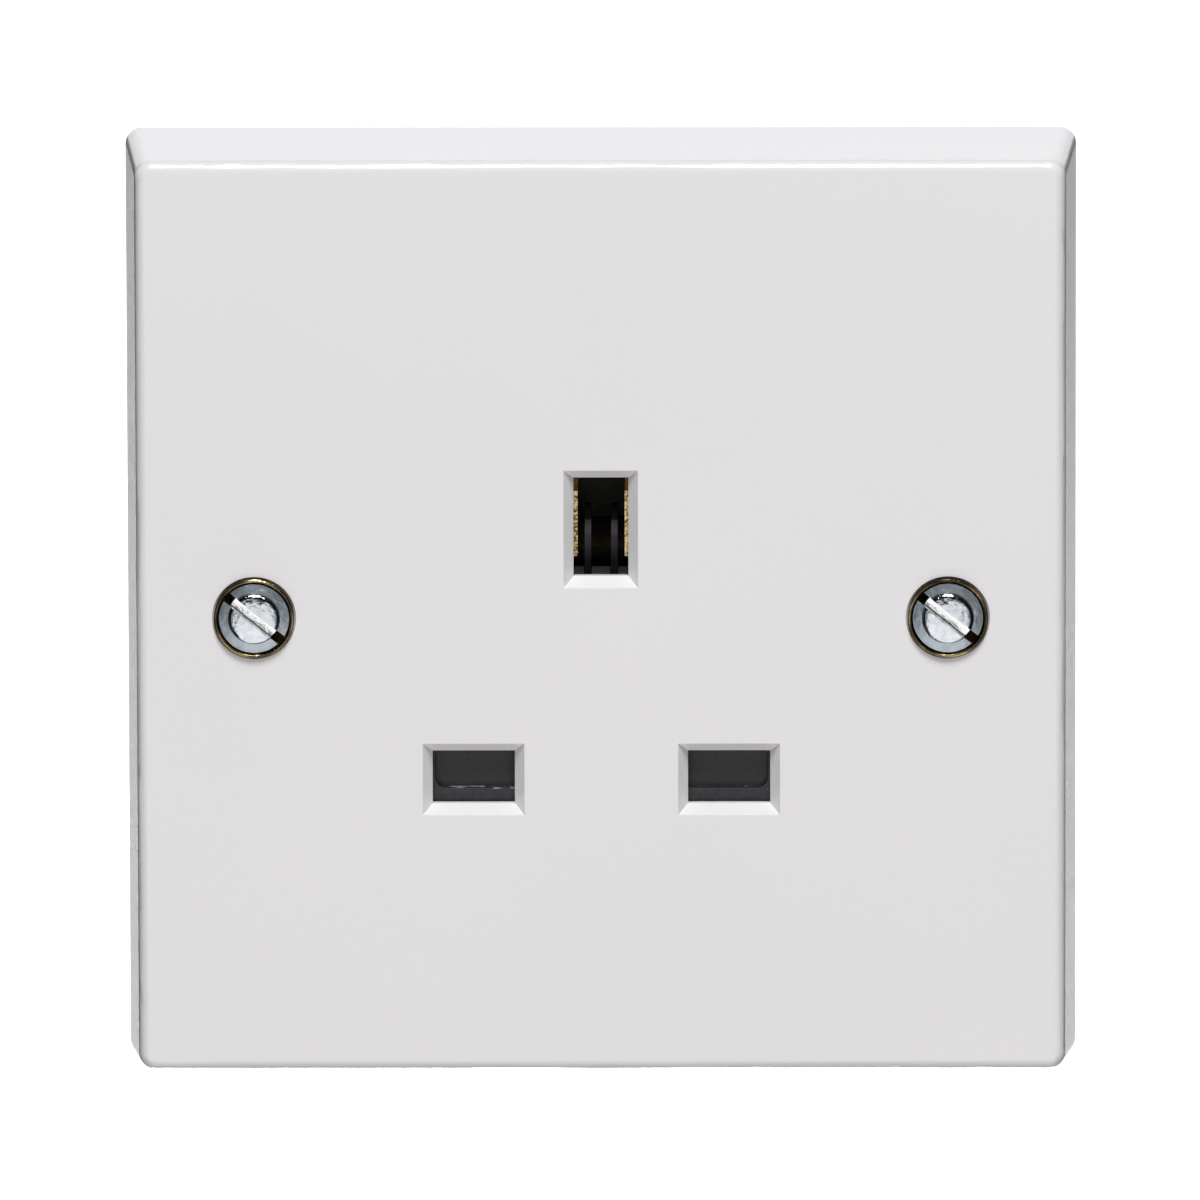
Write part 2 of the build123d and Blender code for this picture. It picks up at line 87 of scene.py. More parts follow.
def eased(piece, width, held=True):
    """Eases a piece's sharp edges by a small radius, held to its shortest edge or not."""
    for polygon in piece.data.polygons:
        polygon.use_smooth = True
    bevel = piece.modifiers.new("edge", "BEVEL")
    bevel.width = width
    bevel.segments = 2
    bevel.limit_method = "ANGLE"
    bevel.angle_limit = SHARP_ANGLE
    bevel.use_clamp_overlap = held
    bevel.miter_outer = "MITER_ARC"
    shading = piece.modifiers.new("shading", "WEIGHTED_NORMAL")
    shading.mode = "FACE_AREA"
    shading.weight = 80
    shading.keep_sharp = False
    return settled(piece)


def moulded_copy(solid, name, width, held=True):
    """A copy of a solid with its corners joined, its flats made whole and its edges eased."""
    shape = bmesh.new()
    shape.from_mesh(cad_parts[solid].data)
    bmesh.ops.remove_doubles(shape, verts=shape.verts, dist=CORNER_GAP)
    bmesh.ops.dissolve_limit(
        shape, angle_limit=FLAT_ANGLE, verts=shape.verts, edges=shape.edges
    )
    return eased(as_piece(shape, name), width, held)


def node(tree, kind, **settings):
    """Adds a node, with its settings."""
    made = tree.nodes.new(kind)
    for key, value in settings.items():
        setattr(made, key, value)
    return made


def wire(tree, start, end):
    """Joins an output to an input."""
    tree.links.new(start, end)


def finish(name):
    """A new finish with its shader and the position it is patterned on."""
    made = bpy.data.materials.new(name)
    made.use_nodes = True
    tree = made.node_tree
    place = node(tree, "ShaderNodeTexCoord")
    return made, tree, tree.nodes["Principled BSDF"], place.outputs["Object"]


def grain(tree, place, scale, detail=3.0, stretch=None):
    """A soft random pattern, so many spots to a metre, drawn out along an axis if asked."""
    if stretch:
        drawn_out = node(tree, "ShaderNodeMapping")
        drawn_out.inputs["Scale"].default_value = stretch
        wire(tree, place, drawn_out.inputs["Vector"])
        place = drawn_out.outputs["Vector"]
    noise = node(tree, "ShaderNodeTexNoise")
    noise.inputs["Scale"].default_value = scale
    noise.inputs["Detail"].default_value = detail
    wire(tree, place, noise.inputs["Vector"])
    return noise.outputs["Fac"]


def tinted(tree, factor, stops):
    """Colours laid along a pattern's values."""
    ramp = node(tree, "ShaderNodeValToRGB")
    points = ramp.color_ramp.elements
    while len(points) < len(stops):
        points.new(0.5)
    for point, (at, colour) in zip(points, stops):
        point.position = at
        point.color = (*colour, 1.0)
    wire(tree, factor, ramp.inputs["Fac"])
    return ramp.outputs["Color"]


def between(tree, factor, low, high, start=0.3, end=0.7):
    """A pattern's values laid between two numbers."""
    scaled = node(tree, "ShaderNodeMapRange")
    scaled.inputs["From Min"].default_value = start
    scaled.inputs["From Max"].default_value = end
    scaled.inputs["To Min"].default_value = low
    scaled.inputs["To Max"].default_value = high
    wire(tree, factor, scaled.inputs["Value"])
    return scaled.outputs["Result"]


def roughened(tree, shader, height, depth, strength=1.0, under=None):
    """Raises a pattern as a shallow relief on the shader, over another relief if given."""
    relief = node(tree, "ShaderNodeBump")
    relief.inputs["Strength"].default_value = strength
    relief.inputs["Distance"].default_value = depth
    wire(tree, height, relief.inputs["Height"])
    if under:
        wire(tree, under, relief.inputs["Normal"])
    wire(tree, relief.outputs["Normal"], shader.inputs["Normal"])
    return relief.outputs["Normal"]


def dressed(piece, material, body, slot, *nodes):
    """Gives a piece its finish and hangs it on its body in place of its solids."""
    piece.data.materials.clear()
    piece.data.materials.append(material)
    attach(piece, body)
    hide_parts(*nodes)
    return piece


white_urea, tree, shader, place = finish("white_urea")
clouds = grain(tree, place, 22.0, 2.0)
specks = grain(tree, place, 1600.0, 4.0)
wire(
    tree,
    tinted(tree, clouds, ((0.25, (0.80, 0.793, 0.79)), (0.75, (0.825, 0.815, 0.81)))),
    shader.inputs["Base Color"],
)
wire(tree, between(tree, specks, 0.17, 0.24), shader.inputs["Roughness"])
peel = roughened(tree, shader, grain(tree, place, 420.0, 2.0), 0.01 * MM, 0.25)
roughened(tree, shader, specks, 0.004 * MM, 0.3, peel)
shader.inputs["IOR"].default_value = 1.5

front_plate = moulded_copy("front_plate", "moulded_plate", PLATE_EDGE)
dressed(front_plate, white_urea, "socket_body", "white_moulding", "front_plate")

# Shutter
# One dark nylon moulding whose wings close the line and neutral apertures until the earth
# pin pushes its greased ramp down. A thin band along each wing's lip is painted with
# patches of pale glint, and the ramp's ribs carry painted light and shade along their height.
SHUTTER_EDGE = 0.05 * MM
LIP_Z = -15.595 * MM
LIP_HALF = 0.03 * MM
LIP_FADE = 0.1 * MM
RIB_X = 1.15 * MM
RIB_HALF = 0.32 * MM
RIB_FADE = RIB_HALF + 0.04 * MM
RAMP_FOOT = 3.88 * MM
RAMP_TOP = 8.68 * MM
DULL_FOOT = (RAMP_FOOT + 0.6 * MM, RAMP_FOOT + 2.4 * MM)
DULL_TOP = (RAMP_TOP - 0.8 * MM, RAMP_TOP - 0.2 * MM)
NYLON_SHINE = 0.4


def sum_of(tree, operation, first, second=None, third=None):
    """A sum between sockets or numbers."""
    made = node(tree, "ShaderNodeMath", operation=operation)
    for socket, value in zip(made.inputs, (first, second, third)):
        if isinstance(value, (int, float)):
            socket.default_value = value
        elif value is not None:
            wire(tree, value, socket)
    return made.outputs[0]


def apart(tree, place):
    """The three coordinates of a place."""
    made = node(tree, "ShaderNodeSeparateXYZ")
    wire(tree, place, made.inputs["Vector"])
    return made.outputs["X"], made.outputs["Y"], made.outputs["Z"]


dark_nylon, tree, shader, place = finish("dark_nylon")
texture = grain(tree, place, 2600.0, 3.0)
at_x, _, at_z = apart(tree, place)
# Painted glints: a thin band along each wing's lip, broken into patches, takes the pale last
# colour stop.
from_lip = sum_of(tree, "ABSOLUTE", sum_of(tree, "SUBTRACT", at_z, LIP_Z))
lip_glint = between(tree, from_lip, 0.5, 0.0, LIP_HALF, LIP_FADE)
glint_patches = between(tree, grain(tree, place, 420.0, 2.0), 0.0, 1.0, 0.53, 0.6)
plain = tinted(
    tree,
    sum_of(tree, "MULTIPLY_ADD", lip_glint, glint_patches, texture),
    (
        (0.3, (0.014, 0.014, 0.017)),
        (0.7, (0.032, 0.031, 0.037)),
        (1.0, (0.34, 0.34, 0.35)),
    ),
)
# Painted light and shade on the ramp's ribs: near black at the foot, lighter going up, a pale
# painted highlight band just under the top, and painted shade above it.
rib_light_and_shade = tinted(
    tree,
    between(tree, at_z, 0.0, 1.0, RAMP_FOOT, RAMP_TOP),
    (
        (0.22, (0.005, 0.005, 0.006)),
        (0.30, (0.011, 0.011, 0.013)),
        (0.50, (0.045, 0.045, 0.050)),
        (0.73, (0.22, 0.22, 0.23)),
        (0.77, (0.014, 0.014, 0.017)),
    ),
)
off_middle = sum_of(tree, "ABSOLUTE", at_x)
from_rib = sum_of(tree, "ABSOLUTE", sum_of(tree, "SUBTRACT", off_middle, RIB_X))
on_rib = between(tree, from_rib, 1.0, 0.0, RIB_HALF, RIB_FADE)
either = node(tree, "ShaderNodeMixRGB")
wire(tree, on_rib, either.inputs["Fac"])
wire(tree, plain, either.inputs["Color1"])
wire(tree, rib_light_and_shade, either.inputs["Color2"])
wire(tree, either.outputs["Color"], shader.inputs["Base Color"])
greased = between(tree, from_rib, 0.36, 1.0, RIB_HALF, RIB_FADE)
wire(
    tree,
    sum_of(tree, "MULTIPLY", between(tree, texture, 0.38, 0.5), greased),
    shader.inputs["Roughness"],
)
roughened(tree, shader, texture, 0.012 * MM, 0.5)
dulled = sum_of(
    tree,
    "ADD",
    between(tree, at_z, -NYLON_SHINE, 0.0, *DULL_FOOT),
    between(tree, at_z, 0.0, -NYLON_SHINE, *DULL_TOP),
)
wire(
    tree,
    sum_of(tree, "MULTIPLY_ADD", on_rib, dulled, NYLON_SHINE),
    shader.inputs["Specular IOR Level"],
)

shutter = moulded_copy("shutter", "sliding_shutter", SHUTTER_EDGE, held=False)
dressed(shutter, dark_nylon, "shutter_body", "dark_shutter", "shutter")

# Shutter spring
# A coil of hard-drawn steel wire with a closed turn at each end, held between a peg in
# the plate and a peg under the shutter. It shortens as the shutter goes down.
SPRING_LOW, SPRING_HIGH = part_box("shutter_spring")
SPRING_WIRE = 0.2 * MM
SPRING_TURNS = 8.0
SPRING_CLIMB = ((1.0, 0.04), (1.7, 0.1), (6.3, 0.9), (7.0, 0.96))
STEPS_PER_TURN = 40
WIRE_SIDES = 12


def together(tree, *coordinates):
    """A place made of its coordinates, nought where none is given."""
    made = node(tree, "ShaderNodeCombineXYZ")
    for socket, value in zip(made.inputs, coordinates):
        wire(tree, value, socket)
    return made.outputs["Vector"]


def growth_tree(name, sizes):
    """A new tree with a named input for each size, and the node that holds them."""
    tree = bpy.data.node_groups.new(name, "GeometryNodeTree")
    for label, kind in sizes:
        tree.interface.new_socket(label, in_out="INPUT", socket_type=f"NodeSocket{kind}")
    tree.interface.new_socket("Geometry", in_out="OUTPUT", socket_type="NodeSocketGeometry")
    return tree, node(tree, "NodeGroupInput")


def surfaced(tree, given, shape, rounded=None):
    """Ends a tree: shades its shape smooth, or the round part of it, and coats it."""
    smooth = node(tree, "GeometryNodeSetShadeSmooth")
    wire(tree, shape, smooth.inputs["Geometry"])
    if rounded:
        wire(tree, rounded, smooth.inputs["Shade Smooth"])
    real = node(tree, "GeometryNodeRealizeInstances")
    wire(tree, smooth.outputs["Geometry"], real.inputs["Geometry"])
    coated = node(tree, "GeometryNodeSetMaterial")
    wire(tree, real.outputs["Geometry"], coated.inputs["Geometry"])
    wire(tree, given.outputs["Finish"], coated.inputs["Material"])
    given_back = node(tree, "NodeGroupOutput")
    wire(tree, coated.outputs["Geometry"], given_back.inputs["Geometry"])


def grown(tree, name, **sizes):
    """Runs a tree with its named sizes and keeps the result as a plain mesh."""
    piece = set_out(name, bpy.data.meshes.new(name))
    modifier = piece.modifiers.new("growth", "NODES")
    modifier.node_group = tree
    sockets = {
        item.name.replace(" ", "_").lower(): item.identifier
        for item in tree.interface.items_tree
        if item.item_type == "SOCKET" and item.in_out == "INPUT"
    }
    for key, value in sizes.items():
        modifier[sockets[key]] = value
    return settled(piece)


spring_tree, given = growth_tree(
    "coil_spring",
    (
        ("Geometry", "Geometry"),
        ("Turns", "Float"),
        ("Coil Radius", "Float"),
        ("Wire Radius", "Float"),
        ("Height", "Float"),
        ("Foot", "Vector"),
        ("Finish", "Material"),
    ),
)
spiral = node(spring_tree, "GeometryNodeCurveSpiral")
spiral.inputs["Resolution"].default_value = STEPS_PER_TURN
wire(spring_tree, given.outputs["Turns"], spiral.inputs["Rotations"])
wire(spring_tree, given.outputs["Coil Radius"], spiral.inputs["Start Radius"])
wire(spring_tree, given.outputs["Coil Radius"], spiral.inputs["End Radius"])
wire(spring_tree, given.outputs["Height"], spiral.inputs["Height"])
along = node(spring_tree, "GeometryNodeSplineParameter")
climb = node(spring_tree, "ShaderNodeFloatCurve")
steps = climb.mapping.curves[0].points
for turns, rise in SPRING_CLIMB:
    steps.new(turns / SPRING_TURNS, rise)
climb.mapping.update()
wire(spring_tree, along.outputs["Factor"], climb.inputs["Value"])
where = node(spring_tree, "GeometryNodeInputPosition")
at_x, at_y, _ = apart(spring_tree, where.outputs["Position"])
climbed = sum_of(spring_tree, "MULTIPLY", climb.outputs["Value"], given.outputs["Height"])
placed = node(spring_tree, "GeometryNodeSetPosition")
wire(spring_tree, spiral.outputs["Curve"], placed.inputs["Geometry"])
wire(spring_tree, together(spring_tree, at_x, at_y, climbed), placed.inputs["Position"])
wire(spring_tree, given.outputs["Foot"], placed.inputs["Offset"])
section = node(spring_tree, "GeometryNodeCurvePrimitiveCircle")
section.inputs["Resolution"].default_value = WIRE_SIDES
wire(spring_tree, given.outputs["Wire Radius"], section.inputs["Radius"])
swept = node(spring_tree, "GeometryNodeCurveToMesh")
swept.inputs["Fill Caps"].default_value = True
wire(spring_tree, placed.outputs["Geometry"], swept.inputs["Curve"])
wire(spring_tree, section.outputs["Curve"], swept.inputs["Profile Curve"])
surfaced(spring_tree, given, swept.outputs["Mesh"])

spring_steel, tree, shader, place = finish("spring_steel")
drawn = grain(tree, place, 900.0, 4.0)
wire(
    tree,
    tinted(tree, drawn, ((0.3, (0.30, 0.30, 0.31)), (0.7, (0.48, 0.48, 0.49)))),
    shader.inputs["Base Color"],
)
wire(tree, between(tree, drawn, 0.25, 0.42), shader.inputs["Roughness"])
roughened(tree, shader, drawn, 0.004 * MM, 0.4)
shader.inputs["Metallic"].default_value = 1.0

spring_length = SPRING_HIGH.z - SPRING_LOW.z
spring_foot = Vector((0.0, (SPRING_LOW.y + SPRING_HIGH.y) / 2, SPRING_LOW.z + SPRING_WIRE))
spring = grown(
    spring_tree,
    "coil_spring",
    turns=SPRING_TURNS,
    coil_radius=(SPRING_HIGH.x - SPRING_LOW.x) / 2 - SPRING_WIRE,
    wire_radius=SPRING_WIRE,
    height=spring_length - 2 * SPRING_WIRE,
    foot=spring_foot,
    finish=spring_steel,
)
dressed(spring, spring_steel, "socket_body", "spring_steel", "shutter_spring")
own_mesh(spring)

# Rear base
# A dark phenolic moulding behind the plate, with a pocket for each contact and terminal
# and a notch for each wire. Two ears take the screws that hold it to the plate.
BASE_EDGE = 0.1 * MM

dark_phenolic, tree, shader, place = finish("dark_phenolic")
clouds = grain(tree, place, 120.0, 4.0)
flecks = grain(tree, place, 1400.0, 5.0)
wire(
    tree,
    tinted(
        tree,
        clouds,
        (
            (0.25, (0.066, 0.068, 0.067)),
            (0.55, (0.085, 0.087, 0.085)),
            (0.8, (0.105, 0.105, 0.102)),
        ),
    ),
    shader.inputs["Base Color"],
)
wire(tree, between(tree, flecks, 0.28, 0.46), shader.inputs["Roughness"])
roughened(tree, shader, flecks, 0.012 * MM, 0.4)

rear_base = moulded_copy("rear_base", "moulded_base", BASE_EDGE, held=False)
dressed(rear_base, dark_phenolic, "socket_body", "dark_base", "rear_base")

# Contacts and earth strap
# Clips and strap pressed and folded from rolled sheet brass. Each clip grips one pin and
# carries a tail to its terminal. The strap joins the earth to both fixing screws.
SHEET_EDGE = 0.06 * MM
SHEARED_GLINT_NEAR = 0.1 * MM
SHEARED_GLINT_FAR = 0.3 * MM

sheet_brass, tree, shader, place = finish("sheet_brass")
rolled = grain(tree, place, 3200.0, 3.0, (1.0, 1.0, 0.12))
tarnish = grain(tree, place, 150.0, 3.0)
_, at_y, _ = apart(tree, place)
front_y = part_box("earth_contact")[0].y
# Near the front edge of the brass the colour swings in fine speckles from dark brown to near
# white: partly the sheared edge's own texture, partly painted glints.
sheared_edge_and_glint = between(tree, at_y, 2.6, 0.0, front_y + SHEARED_GLINT_NEAR, front_y + SHEARED_GLINT_FAR)
glint_patches = sum_of(tree, "SUBTRACT", grain(tree, place, 4200.0, 2.0), 0.52)
wire(
    tree,
    tinted(
        tree,
        sum_of(tree, "MULTIPLY_ADD", glint_patches, sheared_edge_and_glint, tarnish),
        (
            (0.10, (0.11, 0.07, 0.035)),
            (0.30, (0.50, 0.35, 0.15)),
            (0.45, (0.70, 0.52, 0.24)),
            (0.75, (0.82, 0.64, 0.33)),
            (0.95, (0.96, 0.88, 0.72)),
        ),
    ),
    shader.inputs["Base Color"],
)
wire(tree, between(tree, rolled, 0.26, 0.32), shader.inputs["Roughness"])
roughened(tree, shader, rolled, 0.002 * MM, 0.08)
shader.inputs["Metallic"].default_value = 1.0

for solid, name in (
    ("live_contact", "live_clip"),
    ("neutral_contact", "neutral_clip"),
    ("earth_contact", "earth_clip"),
    ("earth_strap", "earthing_strap"),
):
    clip = moulded_copy(solid, name, SHEET_EDGE)
    dressed(clip, sheet_brass, "socket_body", "sheet_brass", solid)

# Terminals
# Sawn blocks of drawn brass bar, each bored across for the wire and tapped at the back
# for its clamping screw. They sit loose in the pockets of the base.
BLOCK_EDGE = 0.14 * MM

bar_brass, tree, shader, place = finish("bar_brass")
sawn = grain(tree, place, 700.0, 5.0, (6.0, 1.0, 1.0))
tarnish = grain(tree, place, 260.0, 4.0)
wire(
    tree,
    tinted(
        tree,
        tarnish,
        (
            (0.30, (0.52, 0.34, 0.12)),
            (0.50, (0.78, 0.57, 0.24)),
            (0.75, (0.85, 0.68, 0.35)),
        ),
    ),
    shader.inputs["Base Color"],
)
wire(tree, between(tree, sawn, 0.26, 0.4), shader.inputs["Roughness"])
roughened(tree, shader, sawn, 0.006 * MM, 0.3)
shader.inputs["Metallic"].default_value = 1.0

for circuit in ("live", "neutral", "earth"):
    block = moulded_copy(f"{circuit}_terminal", f"{circuit}_block", BLOCK_EDGE)
    dressed(block, bar_brass, "socket_body", "sheet_brass", f"{circuit}_terminal")

# Eyelets
# Drawn brass cups let into the plate's face. Each has a tube through the plate that is
# clenched over the earth strap behind, and the head of a fixing screw lies in the cup.
CUP_EDGE = 0.05 * MM

drawn_brass, tree, shader, place = finish("drawn_brass")
rings = grain(tree, place, 380.0, 4.0, (1.0, 7.0, 1.0))
tarnish = grain(tree, place, 300.0, 4.0)
wire(
    tree,
    tinted(
        tree,
        tarnish,
        (
            (0.34, (0.035, 0.025, 0.012)),
            (0.50, (0.12, 0.09, 0.045)),
            (0.66, (0.46, 0.36, 0.20)),
        ),
    ),
    shader.inputs["Base Color"],
)
wire(tree, between(tree, rings, 0.12, 0.24), shader.inputs["Roughness"])
roughened(tree, shader, rings, 0.004 * MM, 0.4)
shader.inputs["Metallic"].default_value = 1.0

for side in ("left", "right"):
    eyelet = moulded_copy(f"fixing_eyelet_{side}", f"{side}_eyelet", CUP_EDGE)
    dressed(eyelet, drawn_brass, "socket_body", "sheet_brass", f"fixing_eyelet_{side}")

# Fixing screws
# Steel machine screws with raised countersunk heads, slotted, bright zinc plated. They
# lie in the brass cups and go back into the wall box. Sizes here are in millimetres.
FIXING_X = 30.15
HEAD_RIM_Y = -11.1
HEAD_CONE_Y = -10.92
HEAD_RADIUS = 3.05
HEAD_SIDES = 96
HEAD_EDGE = 0.06
RING_DROP = 0.1
DOME_RADIUS = 2.27
DOME_RISE = 0.5
DOME_BLEND = 0.07
CROWN_RADIUS = 1.85
CROWN_DROP = 0.17
CROWN_STEPS = 6
SHOULDER_STEPS = 8
NECK_RADIUS = 1.45
NECK_Y = HEAD_CONE_Y + HEAD_RADIUS - NECK_RADIUS
NECK_LAP = 0.4
THREAD_START_Y = -4.55
SCREW_TIP_Y = 16.0
FIXING_THREAD = {"crest_radius": 1.75, "root_radius": 1.38, "pitch": 0.6, "runout": 0.6}
THREAD_SIDES = 36
ROWS_PER_TURN = 8
FLANK_FOOT = 0.12
FLANK_CREST = 0.88
FIXING_SLOT = 0.9
FIXING_SLOT_FLOOR = -10.15
FIXING_SLOT_TURN = -39.0
SAW_LENGTH = 12.0
SAW_CLEAR = 2.0

thread_tree, given = growth_tree(
    "screw_thread",
    (
        ("Geometry", "Geometry"),
        ("Length", "Float"),
        ("Crest Radius", "Float"),
        ("Root Radius", "Float"),
        ("Pitch", "Float"),
        ("Rows", "Int"),
        ("Runout", "Float"),
        ("Centre", "Vector"),
        ("Turn", "Vector"),
        ("Finish", "Material"),
    ),
)
bar = node(thread_tree, "GeometryNodeMeshCylinder")
bar.inputs["Vertices"].default_value = THREAD_SIDES
bar.inputs["Radius"].default_value = 1.0
wire(thread_tree, given.outputs["Rows"], bar.inputs["Side Segments"])
wire(thread_tree, given.outputs["Length"], bar.inputs["Depth"])
where = node(thread_tree, "GeometryNodeInputPosition")
at_x, at_y, at_z = apart(thread_tree, where.outputs["Position"])
around = sum_of(thread_tree, "ARCTAN2", at_y, at_x)
turn = sum_of(thread_tree, "DIVIDE", around, 2 * math.pi)
lead = sum_of(thread_tree, "DIVIDE", at_z, given.outputs["Pitch"])
phase = sum_of(thread_tree, "FRACT", sum_of(thread_tree, "SUBTRACT", lead, turn))
ridge = sum_of(
    thread_tree, "ABSOLUTE", sum_of(thread_tree, "MULTIPLY_ADD", phase, 2.0, -1.0)
)
flank = between(thread_tree, ridge, 0.0, 1.0, FLANK_FOOT, FLANK_CREST)
half = sum_of(thread_tree, "MULTIPLY", given.outputs["Length"], 0.5)
from_end = sum_of(thread_tree, "SUBTRACT", half, sum_of(thread_tree, "ABSOLUTE", at_z))
fade = sum_of(thread_tree, "DIVIDE", from_end, given.outputs["Runout"])
fade = sum_of(thread_tree, "MINIMUM", fade, 1.0)
root = given.outputs["Root Radius"]
height = sum_of(thread_tree, "SUBTRACT", given.outputs["Crest Radius"], root)
rise = sum_of(thread_tree, "MULTIPLY", sum_of(thread_tree, "MULTIPLY", height, fade), flank)
radius = sum_of(thread_tree, "ADD", root, rise)
round_x = sum_of(thread_tree, "MULTIPLY", at_x, radius)
round_y = sum_of(thread_tree, "MULTIPLY", at_y, radius)
cut = node(thread_tree, "GeometryNodeSetPosition")
wire(thread_tree, bar.outputs["Mesh"], cut.inputs["Geometry"])
wire(thread_tree, together(thread_tree, round_x, round_y, at_z), cut.inputs["Position"])
moved = node(thread_tree, "GeometryNodeTransform")
wire(thread_tree, cut.outputs["Geometry"], moved.inputs["Geometry"])
wire(thread_tree, given.outputs["Centre"], moved.inputs["Translation"])
wire(thread_tree, given.outputs["Turn"], moved.inputs["Rotation"])
surfaced(thread_tree, given, moved.outputs["Geometry"], bar.outputs["Side"])


def cut_thread(name, x, z, near_y, far_y, thread, metal, lap=0.0):
    """A thread between two depths, run on into the head by a lap if asked."""
    end_y = far_y + lap
    return grown(
        thread_tree,
        name,
        length=(end_y - near_y) * MM,
        rows=int((far_y - near_y) / thread["pitch"] * ROWS_PER_TURN),
        centre=Vector((x, (end_y + near_y) / 2, z)) * MM,
        turn=Vector((-math.pi / 2, 0.0, 0.0)),
        finish=metal,
        **{size: value * MM for size, value in thread.items()},
    )


def turned(name, x, z, profile, sides):
    """A piece turned about an axis from front to back, from a profile of radius and depth."""
    shape = bmesh.new()
    rings = []
    for radius, y in profile:
        if radius == 0:
            rings.append([shape.verts.new((x * MM, y * MM, z * MM))])
            continue
        ring = []
        for step in range(sides):
            angle = 2 * math.pi * step / sides
            at = (x + radius * math.cos(angle), y, z + radius * math.sin(angle))
            ring.append(shape.verts.new(Vector(at) * MM))
        rings.append(ring)
    for near, far in zip(rings, rings[1:]):
        for step in range(sides):
            after = (step + 1) % sides
            corners = []
            for vert in (
                near[step % len(near)],
                near[after % len(near)],
                far[after % len(far)],
                far[step % len(far)],
            ):
                if vert not in corners:
                    corners.append(vert)
            shape.faces.new(corners)
    bmesh.ops.recalc_face_normals(shape, faces=shape.faces)
    return as_piece(shape, name)


def slotted(piece, x, z, width, near_y, far_y, turn):
    """Cuts a straight slot across a turned head, between two depths."""
    shape = bmesh.new()
    bmesh.ops.create_cube(shape, size=1.0)
    spin = Matrix.Rotation(-math.radians(turn), 4, "Y")
    for vert in shape.verts:
        vert.co.x *= SAW_LENGTH
        vert.co.y = (near_y + far_y) / 2 + vert.co.y * abs(far_y - near_y)
        vert.co.z *= width
        vert.co = (spin @ vert.co + Vector((x, 0, z))) * MM
    blade = as_piece(shape, "slot")
    cutter = piece.modifiers.new("slot", "BOOLEAN")
    cutter.operation = "DIFFERENCE"
    cutter.solver = "EXACT"
    cutter.object = blade
    settled(piece)
    bpy.data.objects.remove(blade)
    return piece


def joined(name, *pieces):
    """Makes one piece of several."""
    shape = bmesh.new()
    for piece in pieces:
        shape.from_mesh(piece.data)
        bpy.data.objects.remove(piece)
    return as_piece(shape, name)


bright_zinc, tree, shader, place = finish("bright_zinc")
plating = grain(tree, place, 1500.0, 4.0)
at_x, at_y, at_z = apart(tree, place)
axis = sum_of(tree, "MULTIPLY", sum_of(tree, "SIGN", at_x), FIXING_X * MM)
across = sum_of(tree, "SUBTRACT", at_x, axis)
from_axis = sum_of(
    tree,
    "SQRT",
    sum_of(
        tree,
        "ADD",
        sum_of(tree, "MULTIPLY", across, across),
        sum_of(tree, "MULTIPLY", at_z, at_z),
    ),
)
dome_edge = ((DOME_RADIUS - DOME_BLEND) * MM, (DOME_RADIUS + DOME_BLEND) * MM)
saw_depth = ((HEAD_RIM_Y + 0.3) * MM, (HEAD_RIM_Y + 0.6) * MM)
floor_depth = ((FIXING_SLOT_FLOOR + 0.05) * MM, (FIXING_SLOT_FLOOR + 0.15) * MM)
wall_edge = ((FIXING_SLOT / 2 - 0.05) * MM, (FIXING_SLOT / 2 - 0.02) * MM)
shank_depth = ((NECK_Y - 0.1) * MM, (NECK_Y + 0.3) * MM)
slot_slope = -math.radians(FIXING_SLOT_TURN)
from_slot = sum_of(
    tree,
    "ABSOLUTE",
    sum_of(
        tree,
        "MULTIPLY_ADD",
        across,
        math.sin(slot_slope),
        sum_of(tree, "MULTIPLY", at_z, math.cos(slot_slope)),
    ),
)
# Painted shadow: within the slot's depth, everything outside its middle (the slot walls and the
# floor's edges along them) takes the near-black first colour stop.
wall = between(tree, from_slot, 0.0, 1.0, *wall_edge)
in_slot = sum_of(
    tree,
    "MULTIPLY",
    between(tree, at_y, 0.0, 1.0, *saw_depth),
    between(tree, at_y, 1.0, 0.0, *floor_depth),
)
outside_slot_shade = sum_of(tree, "SUBTRACT", 1.0, sum_of(tree, "MULTIPLY", wall, in_slot))
# The dome is made a little lighter than the ring. Parts deeper than the head's top, the slot's
# floor first of all, are lighter still; on the floor this is a painted reflection of the front
# lights.
dome_polish_and_slot_highlight = sum_of(
    tree,
    "ADD",
    between(tree, from_axis, 0.4, 0.0, *dome_edge),
    between(tree, at_y, 0.0, 0.35, *saw_depth),
)
wire(
    tree,
    tinted(
        tree,
        sum_of(tree, "MULTIPLY", sum_of(tree, "MULTIPLY_ADD", plating, 0.4, dome_polish_and_slot_highlight), outside_slot_shade),
        (
            (0.00, (0.03, 0.03, 0.035)),
            (0.10, (0.34, 0.39, 0.43)),
            (0.30, (0.46, 0.52, 0.56)),
            (0.50, (0.52, 0.57, 0.62)),
            (0.70, (0.72, 0.75, 0.78)),
            (0.88, (0.96, 0.965, 0.97)),
        ),
    ),
    shader.inputs["Base Color"],
)
turned_rough = between(tree, from_axis, 0.12, 0.36, *dome_edge)
sawn_rough = between(tree, at_y, 0.0, 0.24, *saw_depth)
shank_rough = between(tree, at_y, 0.0, 0.42, *shank_depth)
head_rough = sum_of(tree, "MAXIMUM", turned_rough, sawn_rough)
wire(tree, sum_of(tree, "MAXIMUM", head_rough, shank_rough), shader.inputs["Roughness"])
marks = grain(tree, together(tree, from_axis), 5200.0, 2.0)
turning = roughened(tree, shader, marks, 0.006 * MM, 0.35)
roughened(tree, shader, grain(tree, place, 1700.0, 4.0), 0.09 * MM, 0.8, turning)
shader.inputs["Metallic"].default_value = 1.0

